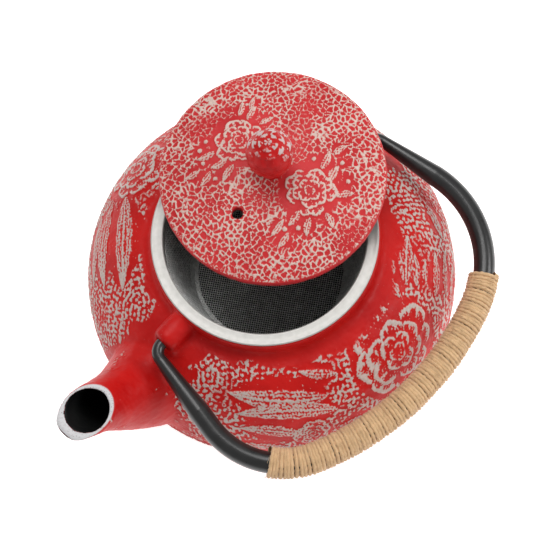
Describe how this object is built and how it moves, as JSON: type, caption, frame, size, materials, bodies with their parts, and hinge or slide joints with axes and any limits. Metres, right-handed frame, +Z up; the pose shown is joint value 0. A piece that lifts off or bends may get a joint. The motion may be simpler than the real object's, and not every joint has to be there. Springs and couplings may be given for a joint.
{
  "type": "cast iron teapot",
  "caption": "Squat iron teapot with relief casting, side spout, swinging bail handle wound with twine, domed lid laid ajar and a mesh infuser.",
  "frame": {"origin": "middle of the flat foot, on the surface the pot stands on", "axes": "+Z up along the pot's own axis, +X towards the spout, hinge line of the bail along X, bail folded towards +Y"},
  "size_m": [0.1939, 0.1719, 0.1351],
  "materials": {
    "painted_iron": "red paint, brushed with silver on the raised pattern",
    "painted_iron_lid": "red paint, brushed with pale pink on the raised pattern",
    "painted_iron_knob": "red paint, brushed with silver",
    "plated_steel": "dull plate",
    "flange_steel": "pale satin",
    "dark_mesh": "fine woven wire, dark",
    "black_enamel": "gloss black enamel",
    "jute": "natural twine, tightly wound"
  },
  "bodies": {
    "pot": {"pot_body": "painted_iron"},
    "infuser": {"infuser_flange": "flange_steel", "infuser_wall_mesh": "dark_mesh", "infuser_base_mesh": "dark_mesh", "infuser_base_ring": "flange_steel"},
    "lid": {"lid": "painted_iron_lid", "lid_knob": "painted_iron_knob", "knob_washer": "plated_steel", "knob_rivet": "plated_steel"},
    "handle": {"bail_handle": "black_enamel", "handle_wrap": "jute"}
  },
  "joints": [
    {"name": "handle_swing", "type": "hinge", "parent": "pot", "child": "handle", "pos_m": [0, 0, 0.083], "axis": [1, 0, 0], "range_deg": [0, 196]},
    {"name": "infuser_lift", "type": "slide", "parent": "pot", "child": "infuser", "axis": [0, 0, 1], "range_m": [0, 0.06]},
    {"name": "lid_lift", "type": "slide", "parent": "infuser", "child": "lid", "axis": [0, 0, 1], "range_m": [0, 0.08]}
  ]
}
